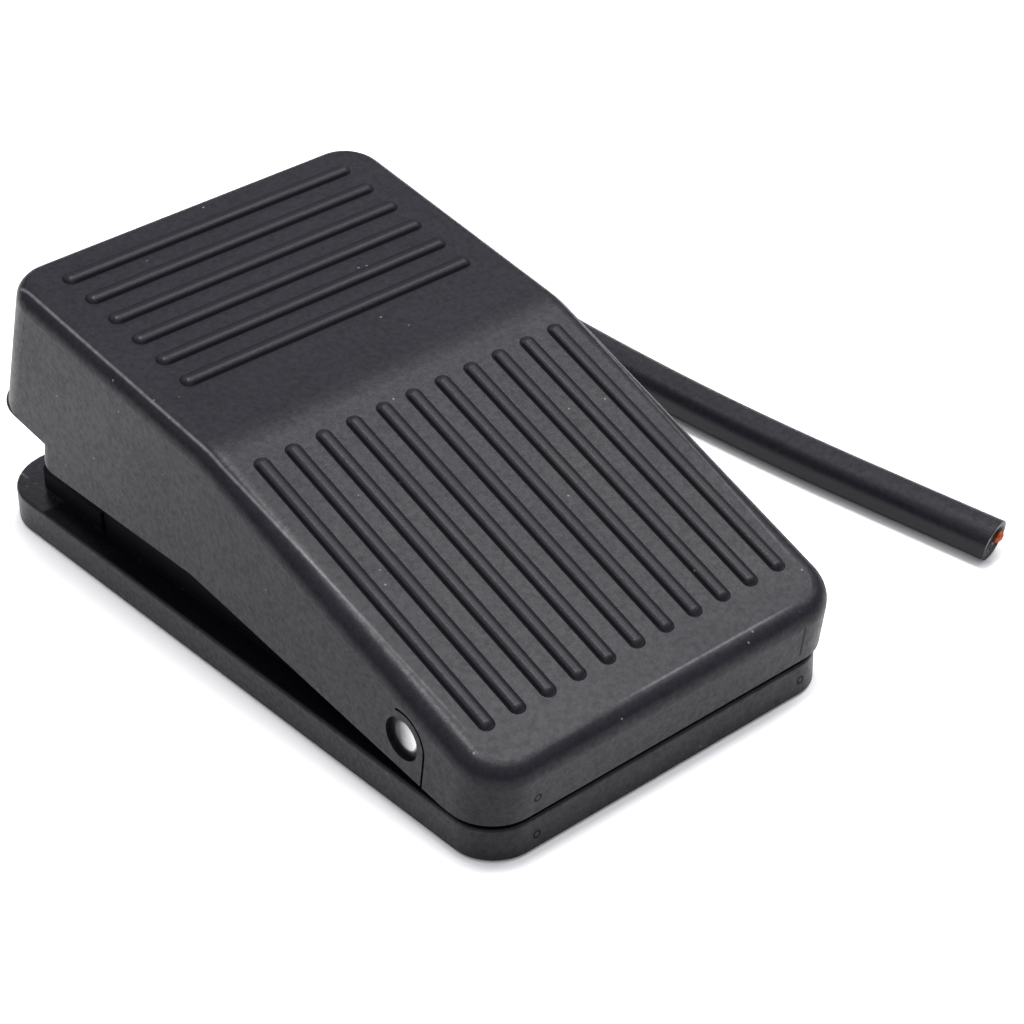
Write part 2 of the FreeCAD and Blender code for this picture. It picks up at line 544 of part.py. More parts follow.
feet_at = [(name, x, y) for name, x, y in (
    ("heel_left", "-foot_x", "tray_front + foot_inset"), ("heel_right", "foot_x", "tray_front + foot_inset"),
    ("toe_left", "-foot_x", "tray_back - foot_inset"), ("toe_right", "foot_x", "tray_back - foot_inset"))]
foot_wells = [rod("foot_well_" + name, "Z", "foot_rad", "-1", "foot_show + foot_sink", (x, y))
              for name, x, y in feet_at]
lug_bore = rod("lug_bore", "X", "pin_rad + turn_gap", "-tray_wid", "tray_wid", ("hinge_y", "hinge_z"))
at_cable = ("cable_x", "exit_z")
bush_bore = rod("bush_bore", "Y", "bush_rad", "room_back - 1", "inner_back + 1", at_cable)
trough = box("cable_trough",
             ("cable_x - bush_flange - trough_play", "inner_back", "exit_z - bush_flange - trough_play"),
             ("cable_x + bush_flange + trough_play", "tray_back + 1", "stop_top"))
screw_ends = (("a", "screw_y_a", "screw_z_a"), ("b", "screw_y_b", "screw_z_b"))
pilot_bores = [rod("pilot_bore_" + end, "X", "screw_rad", "sw_left - screw_bite", "sw_left + 1", (y, z))
               for end, y, z in screw_ends]
clamp_bores = [rod("clamp_bore_" + side, "Z", "clamp_screw_rad", "floor_top + screw_play", "clamp_z + 1",
                   (x, "clamp_y")) for side, x in screw_sides]
cable_lane = rod("cable_lane", "Y", "cable_rad", "cable_end - 1", "room_back - turn_gap", at_cable)
finish(cut("base_tray_solid", tray_built, lug_bore, bush_bore, trough, cable_lane,
           *(foot_wells + pilot_bores + clamp_bores)), "base_tray")

finish(fuse("foot_pads_solid", *[rod("foot_" + name, "Z", "foot_rad", "0", "foot_show + foot_sink", (x, y))
                                 for name, x, y in feet_at]), "foot_pads")

# Return spring: one wire wound on quarter-turn arcs

def arc_pair(start, start_way, end, end_way):
    """Two tangent arcs from one point and direction to another."""
    gap = end - start
    ways = start_way + end_way
    a = 2 * (start_way.dot(end_way) - 1)
    b = -2 * gap.dot(ways)
    c = gap.dot(gap)
    reach = (-b - math.sqrt(b * b - 4 * a * c)) / (2 * a) if abs(a) > 1e-9 else -c / b
    first = start + start_way * reach
    last = end - end_way * reach
    middle = (first + last) * 0.5
    return [bend(start, first, middle), bend(middle, last, end)]


def bend(start, corner, end):
    """The arc that leaves start towards the corner and reaches end from it."""
    chord = (start + end) * 0.5
    half = (corner - start).getAngle(end - start)
    return Part.Arc(start, chord + (corner - chord) * (math.cos(half) / (1 + math.cos(half))), end).toShape()


def coil(radius, low, high, turns, wire):
    steps = int(round(turns * 4))
    rise = (high - low - wire) / steps
    spots = []
    for i in range(steps + 1):
        angle = i * math.pi / 2
        around = V(math.cos(angle), math.sin(angle), 0)
        along = V(-math.sin(angle) * radius, math.cos(angle) * radius, rise / (math.pi / 2)).normalize()
        spots.append((around * radius + V(0, 0, low + wire / 2 + i * rise), along))
    edges = []
    for (start, start_way), (end, end_way) in zip(spots, spots[1:]):
        edges += arc_pair(start, start_way, end, end_way)
    ring = Part.Wire(Part.Circle(spots[0][0], spots[0][1], wire / 2).toShape())
    shape = Part.Wire(edges).makePipeShell([ring], True, False)
    print("spring: least gap between turns %.2f mm" % (4 * rise - wire))
    return shape


spring = doc.addObject("Part::Feature", "return_spring_solid")
spring.Shape = coil(size("spring_rad"), size("spring_low"), size("spring_high"), size("spring_turns"),
                    size("spring_wire"))
move(spring, "0", "spring_y", "0")
finish(spring, "return_spring")

# Snap switch: case, lid, plunger, lever, contacts and their tabs

case_block = box("case_block", ("sw_left", "sw_y", "switch_low"), ("sw_open", "sw_end", "sw_top"))
case_room = box("case_room", ("sw_left + switch_wall", "sw_y + switch_wall", "switch_low + switch_wall"),
                ("sw_open + 1", "sw_end - switch_wall", "sw_top - switch_wall"))
case_bosses = [rod("case_boss_" + end, "X", "screw_boss", "sw_left + switch_wall / 2", "sw_open", (y, z))
               for end, y, z in screw_ends]
lug_sides = (("left", "lever_left - lever_lug - side_gap / 2", "lever_left - side_gap / 2"),
             ("right", "lever_right + side_gap / 2", "lever_right + lever_lug + side_gap / 2"))
lug_half = "(lever_pin_rad + lever_pivot_w)"
lever_lugs = [box("lever_lug_" + side, (low, "pivot_y - " + lug_half, "sw_top - lever_pin_rad"),
                  (high, "pivot_y + " + lug_half, "pivot_z + lever_lug"))
              for side, low, high in lug_sides]
case_solid = fuse("case_solid", cut("case_shell", case_block, case_room), *(case_bosses + lever_lugs))


def case_bores(tag, low, high):
    return [rod("%s_bore_%s" % (tag, end), "X", "screw_rad + screw_play", low, high, (y, z))
            for end, y, z in screw_ends]


at_pivot = ("pivot_y", "pivot_z")
at_plunger = ("switch_x", "plunger_y")
plunger_bore = rod("plunger_bore", "Z", "plunger_rad + turn_gap", "arm_z", "sw_top + 1", at_plunger)
pin_seat = rod("pin_seat", "X", "lever_pin_rad", "sw_left", "sw_right", at_pivot)

open_strip = ("open_strip", ("tab_left", "sw_y - tab_out", "open_top - tab_thick"),
              ("tab_right", "strip_end", "open_top"))
closed_strip = ("closed_strip", ("tab_left", "sw_y - tab_out", "closed_low"),
                ("tab_right", "strip_end", "closed_low + tab_thick"))
common_strip = ("common_strip", ("tab_left", "arm_pivot_y - tab_grip", "common_low"),
                ("tab_right", "sw_end + tab_out", "common_low + tab_thick"))
tab_slots = [box(name + "_slot", low, high) for name, low, high in (open_strip, closed_strip, common_strip)]
finish(cut("switch_case_solid", case_solid, plunger_bore, pin_seat,
           *(tab_slots + case_bores("case", "sw_left - 1", "sw_open + 1"))), "switch_case")

lid_plate = box("lid_plate", ("sw_open", "sw_y", "switch_low"), ("sw_right", "sw_end", "sw_top"))
finish(cut("switch_lid_solid", lid_plate, *case_bores("lid", "sw_open - 1", "sw_right + 1")), "switch_lid")


def rivet(name, low, high):
    return rod(name, "Z", "contact_rad", low, high, ("switch_x", "contact_y"))


finish(fuse("open_terminal_solid", box(*open_strip),
            rivet("open_rivet", "open_top", "open_top + contact_high")), "open_terminal")
finish(fuse("closed_terminal_solid", box(*closed_strip),
            rivet("closed_rivet", "closed_low - contact_high", "closed_low")), "closed_terminal")
anchor = box("common_anchor", ("tab_left", "arm_pivot_y - 1", "common_low"),
             ("tab_right", "arm_pivot_y", "arm_z - arm_roll_rad - 2 * turn_gap"))
finish(fuse("common_terminal_solid", box(*common_strip), anchor), "common_terminal")

arm_left = "switch_x - arm_wid / 2"
arm_right = "switch_x + arm_wid / 2"
arm_strip = box("arm_strip", (arm_left, "contact_y - contact_rad - side_gap", "arm_low"),
                (arm_right, "arm_pivot_y", "arm_high"))
arm_roll = rod("arm_roll", "X", "arm_roll_rad", arm_left, arm_right, ("arm_pivot_y", "arm_z"))
arm_rivet = rivet("arm_rivet", "arm_low - contact_high", "arm_high + contact_high")
finish(fuse("contact_arm_solid", arm_strip, arm_roll, arm_rivet), "contact_arm")

plunger_body = rod("plunger_body", "Z", "plunger_rad", "arm_high + side_gap", "tip_top - tip_high",
                   at_plunger)
plunger_point = rod("plunger_point", "Z", "plunger_tip", "tip_top - 2 * tip_high", "tip_top", at_plunger)
finish(fuse("plunger_solid", plunger_body, plunger_point), "switch_plunger")

lever_strip = doc.addObject("Part::Box", "lever_strip")
bind(lever_strip, "Length", "lever_wid")
bind(lever_strip, "Width", "lever_len")
bind(lever_strip, "Height", "lever_thick")
turn(lever_strip, V(1, 0, 0), "lever_rest")
move(lever_strip, "lever_left", "pivot_y + lever_thick / 2 * sin(lever_rest)",
     "pivot_z - lever_thick / 2 * cos(lever_rest)")
lever_roll = rod("lever_roll", "X", "lever_roll_rad", "lever_left", "lever_right", at_pivot)
lever_hole = rod("lever_hole", "X", "lever_pin_rad + turn_gap", "sw_left", "sw_right", at_pivot)
finish(cut("lever_solid", fuse("lever_blank", lever_strip, lever_roll), lever_hole), "switch_lever")
finish(rod("lever_pin_solid", "X", "lever_pin_rad", "lever_left - lever_lug - side_gap / 2",
           "lever_right + lever_lug + side_gap / 2", at_pivot), "lever_pin")

switch_screws = []
for end, y, z in screw_ends:
    shank = rod("switch_shank_" + end, "X", "screw_rad", "sw_left - screw_bite", "sw_right + head_high / 4",
                (y, z))
    head = rod("switch_head_" + end, "X", "head_rad", "sw_right", "sw_right + head_high", (y, z))
    drive = rod("switch_drive_" + end, "X", "drive_rad", "sw_right + head_high / 2",
                "sw_right + head_high + 1", (y, z))
    switch_screws.append(cut("switch_screw_" + end, fuse("switch_screw_blank_" + end, shank, head), drive))
finish(fuse("switch_screws_solid", *switch_screws), "switch_screws")

# Cable: bushing in the inner wall, clamp, inner stretch, cores and the free stretch

bush = fuse("bush_blank",
            rod("bush_neck", "Y", "bush_rad", "room_back", "inner_back", at_cable),
            rod("bush_inner", "Y", "bush_flange", "cable_start", "room_back", at_cable),
            rod("bush_outer", "Y", "bush_flange", "inner_back", "bush_out", at_cable))
bush_hole = rod("bush_hole", "Y", "cable_rad", "cable_start - 1", "bush_out + 1", at_cable)
finish(cut("cable_bushing_solid", bush, bush_hole), "cable_bushing")
finish(rod("inner_cable_solid", "Y", "cable_rad", "cable_end", "bush_out", at_cable), "inner_cable")

clamp_bar = box("clamp_bar", ("cable_x - clamp_wid / 2", "clamp_back - clamp_len", "clamp_z"),
                ("cable_x + clamp_wid / 2", "clamp_back", "clamp_top"))
clamp_saddle = rod("clamp_saddle", "Y", "cable_rad", "clamp_back - clamp_len - 1", "clamp_back + 1", at_cable)
clamp_holes = [rod("clamp_hole_" + side, "Z", "clamp_screw_rad + screw_play", "floor_top", "clamp_top + 1",
                   (x, "clamp_y")) for side, x in screw_sides]
finish(cut("cable_clamp_solid", clamp_bar, clamp_saddle, *clamp_holes), "cable_clamp")
clamp_screws = []
for side, x in screw_sides:
    shank = rod("clamp_shank_" + side, "Z", "clamp_screw_rad", "floor_top + screw_play",
                "clamp_top + clamp_head_high / 4", (x, "clamp_y"))
    head = rod("clamp_top_" + side, "Z", "clamp_head", "clamp_top", "clamp_top + clamp_head_high",
               (x, "clamp_y"))
    clamp_screws.append(fuse("clamp_screw_" + side, shank, head))
finish(fuse("clamp_screws_solid", *clamp_screws), "clamp_screws")


def route(points):
    """Straight runs joined by tangent arcs, each as large as its two runs allow."""
    spots = [V(*point) for point in points]
    edges = []
    radii = []
    start = spots[0]
    for before, corner, after in zip(spots, spots[1:], spots[2:]):
        into = corner - before
        out = after - corner
        half = into.getAngle(out) / 2
        trim = 0.45 * min(into.Length, out.Length)
        radii.append(trim / math.tan(half))
        first = corner - into.normalize() * trim
        last = corner + out.normalize() * trim
        edges.append(Part.LineSegment(start, first).toShape())
        edges.append(bend(first, corner, last))
        start = last
    edges.append(Part.LineSegment(start, spots[-1]).toShape())
    return Part.Wire(edges), radii


def tube(label, points, radius):
    wire, radii = route(points)
    ring = Part.Wire(Part.Circle(V(*points[0]), V(*points[1]) - V(*points[0]), radius).toShape())
    thing = doc.addObject("Part::Feature", label + "_solid")
    thing.Shape = wire.makePipeShell([ring], True, False)
    full = math.pi * radius ** 2 * wire.Length
    print("%s: length %.1f, least radius %.1f, volume %.4f of its section times its length"
          % (label, wire.Length, min(radii), thing.Shape.Volume / full))
    return finish(thing, label)


x0 = size("cable_x")
y0 = size("cable_end")
z0 = size("exit_z")
apart = size("core_side")
core = size("core_rad")
floor_lane = size("floor_top") + core + size("side_gap")

# The common core leaves the sheath to the left and runs up beside the switch to its rear tab

common_z = evaluate("common_low + tab_thick / 2")
common_y = evaluate("sw_end + 0.6 * tab_out")
common_x = size("sw_right") + core + 0.1
tube("common_lead", [
    (x0 - apart, y0, z0), (x0 - apart, y0 - 4.5, z0), (x0 - apart - 4.4, y0 - 6.0, z0 - 0.2),
    (common_x + 0.7, y0 - 2.6, common_z), (common_x, common_y, common_z),
    (size("tab_right"), common_y, common_z)], core)

# The open core goes round the spring's seat and under the switch's front to its lower tab

seat_y = size("spring_y")
open_z = evaluate("open_top - tab_thick / 2")
tip_x = size("switch_x")
tip_y = evaluate("sw_y - tab_out")
tube("open_lead", [
    (x0 + apart, y0, z0), (x0 + apart, y0 - 3.4, z0), (x0 + apart + 3.3, y0 - 7.0, floor_lane + 1.2),
    (8.6, seat_y + 2.0, floor_lane), (8.2, seat_y - 6.0, floor_lane), (2.6, tip_y - 0.5, floor_lane + 0.4),
    (-5.0, tip_y - 8.0, floor_lane + 1.8), (-12.6, tip_y - 7.4, open_z - 1.2), (tip_x, tip_y - 2.6, open_z),
    (tip_x, tip_y, open_z)], core)

# The free stretch leaves the bushing, turns round to the right on the floor and runs back past the tray

lay = size("cable_rad")
out_y = size("bush_out")
tube("cable", [
    (x0, out_y, z0), (x0, out_y + 14.5, z0), (x0 + 4.0, out_y + 29.5, lay + 1.1), (14.0, 77.1, lay),
    (27.5, 81.1, lay), (41.0, 77.4, lay), (50.6, 67.2, lay), (54.7, 52.6, lay), (55.2, 36.1, lay),
    (55.15, 19.1, lay), (55.75, 1.6, lay), (57.15, -15.4, lay), (59.05, -30.9, lay),
    (60.85, -44.75, lay)], lay)

# Check every object, then write one file for each piece

doc.recompute()
for thing in doc.Objects:
    if "Invalid" in thing.State or "Error" in thing.State:
        raise RuntimeError("%s failed: %s" % (thing.Name, thing.State))
os.makedirs("parts", exist_ok=True)
for piece in FINISHED:
    shape = piece.Shape
    if shape.isNull() or not shape.isValid():
        raise RuntimeError("%s has no valid shape" % piece.Label)
    shape.exportStep("parts/%s.step" % piece.Label)
    print("%-18s solids %d volume %.1f" % (piece.Label, len(shape.Solids), shape.Volume))
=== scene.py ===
# %% [markdown]
# # A small foot switch on a white table
#
# The real thing is a moulded plastic tray with a snap switch inside, a ribbed cover hinged
# over it, and a length of two-core cable. The hard pieces come from the imported model, already
# at their real size and place. This lesson adds the finish of each one, the cable as a curve,
# the small marks that moulding and use leave behind, and some painted light and shade.

# %% Load the imported model
import math

import bmesh
import bpy
import numpy as np
from mathutils import Matrix, Vector


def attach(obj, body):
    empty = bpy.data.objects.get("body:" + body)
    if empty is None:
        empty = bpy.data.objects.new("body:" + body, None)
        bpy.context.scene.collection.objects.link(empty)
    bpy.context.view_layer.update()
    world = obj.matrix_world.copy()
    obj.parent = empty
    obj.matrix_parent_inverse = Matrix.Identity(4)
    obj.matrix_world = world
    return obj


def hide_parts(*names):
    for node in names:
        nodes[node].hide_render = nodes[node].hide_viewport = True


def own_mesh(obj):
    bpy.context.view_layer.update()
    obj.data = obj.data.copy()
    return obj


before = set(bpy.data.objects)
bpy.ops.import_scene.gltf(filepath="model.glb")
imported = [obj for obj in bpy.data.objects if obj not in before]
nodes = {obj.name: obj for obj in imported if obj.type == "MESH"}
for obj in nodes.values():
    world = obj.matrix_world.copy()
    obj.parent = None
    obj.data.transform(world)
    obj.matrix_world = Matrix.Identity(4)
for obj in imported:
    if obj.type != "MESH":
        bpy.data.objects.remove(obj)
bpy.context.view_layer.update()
print("pieces from the model:", len(nodes))

# %% [markdown]
# ## The camera
#
# The photograph was taken from a little above and to the left of the heel end, with a long
# lens. We place the camera by the point that it looks at, its distance and two angles, and
# then add the small tilt that a hand-held camera has.

# %% Place the camera
MM = 0.001
scene = bpy.context.scene


def aim(target, azimuth, elevation, roll, distance):
    """Camera matrix: back along the view, the picture's axes turned by the roll."""
    a, e, r = (math.radians(angle) for angle in (azimuth, elevation, roll))
    back = Vector((math.sin(a) * math.cos(e), -math.cos(a) * math.cos(e), math.sin(e)))
    level = Vector((0, 0, 1)).cross(back).normalized()
    steep = back.cross(level)
    right = level * math.cos(r) + steep * math.sin(r)
    up = back.cross(right)
    matrix = Matrix((right, up, back)).transposed().to_4x4()
    matrix.translation = Vector(target) + back * distance
    return matrix


lens = bpy.data.cameras.new("long_lens")
lens.sensor_width = 36
lens.lens = 102.905
lens.clip_start = 0.01
camera = bpy.data.objects.new("camera", lens)
camera.matrix_world = aim(target=(22.343 * MM, 3.641 * MM, 0), azimuth=-40.555, elevation=33.969,
                          roll=-0.940, distance=387.545 * MM)
scene.collection.objects.link(camera)
bpy.context.scene.camera = camera
print("camera at", np.round(camera.matrix_world.translation, 4))

# %% [markdown]
# ## Writing shader maths as Python
#
# A material is a small program drawn as a graph. Wiring it by hand gets long, so we wrap a
# socket in a class that understands +, -, * and /, and let Python write the graph for us.
# Most of this pedal's masks are one of two kinds: near a value, or above a value, each with
# a soft edge, so the class offers both.

# %% A socket that does arithmetic


class Wire:
    """One output of a node. Arithmetic on it adds Math nodes to the same graph."""

    def __init__(self, graph, socket):
        self.graph = graph
        self.socket = socket

    def math(self, operation, *others, clamp=False):
        settings = {"operation": operation, "use_clamp": clamp}
        return self.graph.node("ShaderNodeMath", settings, [self, *others])

    def __add__(self, other):
        return self.math("ADD", other)

    def __sub__(self, other):
        return self.math("SUBTRACT", other)

    def __rsub__(self, other):
        return self.graph.node("ShaderNodeMath", {"operation": "SUBTRACT"}, [other, self])

    def __mul__(self, other):
        return self.math("MULTIPLY", other)

    def __truediv__(self, other):
        return self.math("DIVIDE", other)

    __radd__ = __add__
    __rmul__ = __mul__

    def clamped(self):
        """The same value, kept between 0 and 1."""
        return self.math("MULTIPLY", 1.0, clamp=True)

    def near(self, middle, half, soft):
        """1 within half of the middle, falling to 0 over the soft width."""
        return (((self - middle).math("ABSOLUTE") * -1 + half) / soft + 0.5).clamped()

    def above(self, edge, soft):
        """0 below the edge, 1 above it, with a ramp of the given width."""
        return ((self - edge) / soft + 0.5).clamped()


print("arithmetic on sockets: + - * / near above")

# %% [markdown]
# ## A graph of nodes
#
# Every other kind of node comes from one method, which takes the node's type, its settings
# and the values or links of its inputs. It serves materials and the sky alike. A ramp's stops
# are a list of spots and colours, and the first two of them are there already.

# %% A graph that writes its own nodes


def opaque(colour):
    """A colour of three parts gets its fourth. A link or a number stays as it is."""
    return (*colour, 1) if isinstance(colour, tuple) and len(colour) == 3 else colour


def times(colour, share):
    """A colour made darker or lighter."""
    return tuple(channel * share for channel in colour)


class Graph:
    """The nodes of a material or of the sky, in the making."""

    def __init__(self, owner):
        owner.use_nodes = True
        self.owner = owner
        self.tree = owner.node_tree
        self.tree.nodes.clear()

    def node(self, kind, settings=None, values=(), out=0):
        """Adds a node. values is a list in input order, or a dict by input name."""
        made = self.tree.nodes.new(kind)
        for key, setting in (settings or {}).items():
            if key == "stops":
                stops = made.color_ramp.elements
                for index, (spot, colour) in enumerate(setting):
                    stop = stops[index] if index < 2 else stops.new(spot)
                    stop.position = spot
                    stop.color = opaque(colour)
            else:
                setattr(made, key, setting)
        pairs = values.items() if isinstance(values, dict) else enumerate(values)
        for key, value in pairs:
            if isinstance(value, Wire):
                self.tree.links.new(value.socket, made.inputs[key])
            else:
                made.inputs[key].default_value = value
        return Wire(self, made.outputs[out])

    def end(self, kind, surface):
        """Joins a surface to an output node of the given type, and gives back what it is for."""
        made = self.tree.nodes.new(kind)
        self.tree.links.new(surface.socket, made.inputs["Surface"])
        return self.owner


print("one method for every kind of node")

# %% [markdown]
# ## A material in the making
#
# On top of the graph sit the few patterns that this pedal needs: soft noise for grain,
# scattered points for lint, a mix of two colours, and a bump. They all read the place on the
# piece in its own metres, so they stay put when the piece moves.

# %% A material and its patterns


class Finish(Graph):
    """A material in the making, read in the object's own metres."""

    def __init__(self, name):
        super().__init__(bpy.data.materials.new(name))
        self.place = self.node("ShaderNodeTexCoord", out="Object")

    def mm(self, axis):
        """One coordinate of the place on the piece, in millimetres."""
        split = self.node("ShaderNodeSeparateXYZ", None, [self.place], "XYZ".index(axis))
        return split * 1000

    def noise(self, scale, detail=2.0, rough=0.5, where=None):
        """Soft random lumps about 1/scale metres across, from 0 to 1."""
        values = {"Vector": where or self.place, "Scale": scale, "Detail": detail, "Roughness": rough}
        return self.node("ShaderNodeTexNoise", None, values)

    def scatter(self, scale):
        """The distance to the nearest of many scattered points."""
        values = {"Vector": self.place, "Scale": scale}
        return self.node("ShaderNodeTexVoronoi", {"feature": "F1"}, values, "Distance")

    def mix(self, share, low, high):
        """A colour between two colours."""
        values = {0: share, 6: opaque(low), 7: opaque(high)}
        return self.node("ShaderNodeMix", {"data_type": "RGBA"}, values, 2)

    def bump(self, height, distance, strength):
        """Small relief: the height pattern, at most distance metres deep."""
        values = {"Height": height, "Distance": distance, "Strength": strength}
        return self.node("ShaderNodeBump", None, values)

    def done(self, surface):
        """Ends the material with a surface."""
        return self.end("ShaderNodeOutputMaterial", surface)

    def shine(self, **values):
        """Ends the material with a Principled surface. Names use _ for a blank."""
        named = {key.replace("_", " "): opaque(value) for key, value in values.items()}
        return self.done(self.node("ShaderNodeBsdfPrincipled", None, named))


def dress(material, *names):
    """Gives a finish to pieces of the model."""
    for name in names:
        slots = nodes[name].data.materials
        slots.clear()
        slots.append(material)
    print(material.name, "on", ", ".join(names))


# %% [markdown]
# ## The moulded plastic
#
# Cover and tray are black ABS from a spark-eroded mould: a satin skin with a very fine grain,
# slightly violet in tone. Black plastic shows what it mirrors, so its own colour is close to
# black and the greys of the photograph come from the table and the lamps. One class gives
# the base: grain in the bump, slow changes in the sheen, and small pale specks of lint. Where
# shade is painted on, and on small dull marks, a matt black surface takes the shiny one's place.

# %% The base of both mouldings
DEEP_BLACK = (0.0062, 0.0057, 0.0090)
MATT_BLACK = (0.004, 0.004, 0.005)
LINT = (0.22, 0.21, 0.20)


class Moulding(Finish):
    """Satin black plastic, and the masks that change it from place to place."""

    def __init__(self, name, lint_from):
        super().__init__(name)
        slow = self.noise(75, 3)
        fine = self.noise(1500, 3, 0.6)
        grain = self.noise(4600, 2, 0.6)
        lint = (1 - self.scatter(620).above(0.09, 0.04)) * self.noise(310, 0).above(lint_from, 0.02)
        tone = self.mix(fine * 0.9 + slow * 0.4 - 0.15, times(DEEP_BLACK, 0.62), times(DEEP_BLACK, 1.45))
        self.tone = self.mix(lint * 0.55, tone, LINT)
        self.rough = slow * 0.14 + fine * 0.10 + 0.26
        self.height = grain * 0.7 + fine * 0.5
        # dull pits of the grain; shade() adds painted shade and dull marks to this share
        self.dull = self.noise(1300, 3, 0.75) * 1.1 - 0.42

    def paint(self, mask, colour):
        """Brings in another colour."""
        self.tone = self.mix(mask, self.tone, colour)

    def polish(self, mask, change):
        """Makes the skin rougher or glossier."""
        self.rough = self.rough + mask * change

    def shade(self, mask, share):
        """Paints shade, or a dull mark: a share of matt black takes the shine's place."""
        self.dull = self.dull.math("MAXIMUM", mask * share)

    def satin(self, depth, bend):
        """Ends the material: grain depth in metres, and the plastic's refractive index."""
        normal = self.bump(self.height, depth, 0.5)
        glossy = self.node("ShaderNodeBsdfPrincipled", None, {
            "Base Color": self.tone, "Roughness": self.rough, "Normal": normal, "IOR": bend})
        matt = self.node("ShaderNodeBsdfDiffuse", None, {"Color": opaque(MATT_BLACK), "Normal": normal})
        return self.done(self.node("ShaderNodeMixShader", None, [self.dull, glossy, matt]))


print("base plastic tone", DEEP_BLACK)

# %% [markdown]
# ## Places on the cover
#
# The rubbed edges, their painted highlight and the painted shade follow the cover's own shape, so
# we need its own coordinates: u runs from the hinge to the toe, w stands square to it. Both come
# from the piece's place by one turn about the hinge. The flat top lies at w = 15.5 mm and falls
# away by 12.2 degrees on the heel side of u = 38.2 mm, and the height over that surface tells ribs
# from the skin.

# %% The cover's own coordinates
HINGE_Y, HINGE_Z = -35.656, 11.73
PITCH = math.radians(8.9)
FALL = math.tan(math.radians(12.2))
TOP, CREASE = 15.5, 38.2


def cover_places(finish):
    """Across, along and above the cover, in millimetres: u = y cos + z sin and w = z cos - y sin
    about the hinge, and above = w + fall * (crease - u) - top, with no fall past the crease."""
    y = finish.mm("Y") - HINGE_Y
    z = finish.mm("Z") - HINGE_Z
    u = y * math.cos(PITCH) + z * math.sin(PITCH)
    w = z * math.cos(PITCH) - y * math.sin(PITCH)
    fallen = (CREASE - u).math("MAXIMUM", 0.0) * FALL
    return finish.mm("X"), u, w + fallen - TOP


cover = Moulding("moulded_plastic_cover", 0.70)
x, u, rise = cover_places(cover)
side = x.math("ABSOLUTE")
print("the crease lies", CREASE, "mm from the hinge")

# %% [markdown]
# ## Ribs
#
# Eleven long ribs run up the slope and six short ones cross the flat toe part. The shape has
# them already. Here each gets a painted shadow: a thin dark line on its shadow side, a faint
# dark outline, and painted shade on its crest that dulls the lamps' highlight there. The masks
# repeat with the ribs' own step, so one mask serves a whole row.

# %% Lines and crests of the ribs
LONG_STEP = 4.567
CROSS_FIRST, CROSS_STEP = 74.755, 4.915
FIELD = 24.6


def from_nearest(place, step):
    """How far a place lies from the nearest whole number of steps."""
    return place - (place / step).math("ROUND") * step


field = side.near(0.0, FIELD, 0.6)
beside_long = from_nearest(x, LONG_STEP)
beside_cross = from_nearest(u - CROSS_FIRST, CROSS_STEP)
slope_part = u.near(12.95, 20.9, 0.9)
toe_part = u.near(62.0, 14.5, 1.0) * side.near(0.0, 21.6, 0.9)
# painted shadow: a thin dark line at the foot of each rib, on its shadow side
long_painted_shadows = beside_long.near(-0.92, 0.18, 0.24) * slope_part
cross_painted_shadows = beside_cross.near(-1.02, 0.20, 0.22) * toe_part
cover.shade(field * rise.near(0.16, 0.24, 0.12) * (long_painted_shadows + cross_painted_shadows * 0.82), 0.85)
# painted shade: a faint dark outline round the ribs' feet and ends
cover.shade(rise.near(0.17, 0.08, 0.10) * field, 0.10)
# painted shade on the crests, which dulls the lamps' highlight there
painted_crest_shade = (beside_long.near(-0.46, 0.26, 0.42) * 0.16 + 0.30) * slope_part + toe_part * 0.30
cover.shade(rise.above(0.45, 0.16) * field * painted_crest_shade, 1.0)
print("ribs", LONG_STEP, "and", CROSS_STEP, "mm apart")

# %% [markdown]
# ## Worn edges and moulding marks
#
# The long edges of the top and its heel edge are rubbed paler and glossier, in patches, and the
# pale line is also a painted highlight, laid where the lamps' reflection runs on the rounded
# edges. A small round mark and a short upright line on the heel face are where a pin and a joint
# of the mould met the plastic. They stand out only as thin dull lines, so the finish draws them.

# %% The cover's edges and marks
RUBBED_AND_HIGHLIGHT = (0.16, 0.155, 0.165)
EDGE, EDGE_TAPER, TAPER_FROM = 27.0, 0.039, 36.25
HEEL_EDGE = -13.1
COVER_MARK = (-20.85, 8.25)


def round_mark(across, high, middle):
    """1 on the ring round a small moulding mark. Distance = root of across^2 + high^2."""
    aside = across - middle[0]
    over = high - middle[1]
    return (aside * aside + over * over).math("SQRT").near(0.45, 0.16, 0.2)


# painted highlight: the pale line follows where the lamps' reflection crosses the rounded edge
edge = (TAPER_FROM - u).math("MAXIMUM", 0.0) * -EDGE_TAPER + EDGE
long_edges = (side - edge).near(0.0, 0.10, 0.28) * rise.near(-0.55, 0.5, 0.4) * u.above(-6.0, 6.0)
heel_edge = u.near(HEEL_EDGE, 0.10, 0.3) * rise.near(-0.45, 0.5, 0.4) * x.near(6.5, 11.5, 6.0)
rubbed_and_highlight = (long_edges + heel_edge).math("MINIMUM", 1.0) * (cover.noise(800, 3, 0.7) * 0.8 + 0.45)
# rubbed paler and glossier, and a painted highlight as well
cover.paint(rubbed_and_highlight * 0.85, RUBBED_AND_HIGHLIGHT)
cover.polish(rubbed_and_highlight, -0.12)
height = cover.mm("Z")
heel_face = u.near(-16.0, 1.6, 0.4)
cover.shade(round_mark(x, height, COVER_MARK) * heel_face, 0.75)
cover.shade(x.near(21.0, 0.22, 0.25) * height.near(9.1, 2.3, 0.5) * heel_face, 0.6)
dress(cover.satin(0.00006, 1.29), "pedal_cover")

# %% [markdown]
# ## The tray's finish
#
# The tray is the same plastic. House dust gathers in the corner between the ledge and the
# raised inner wall. The cover's shade on both is painted on: most of their shine is swapped
# for matt black. What is left is smoother, because the cover keeps hands off them.

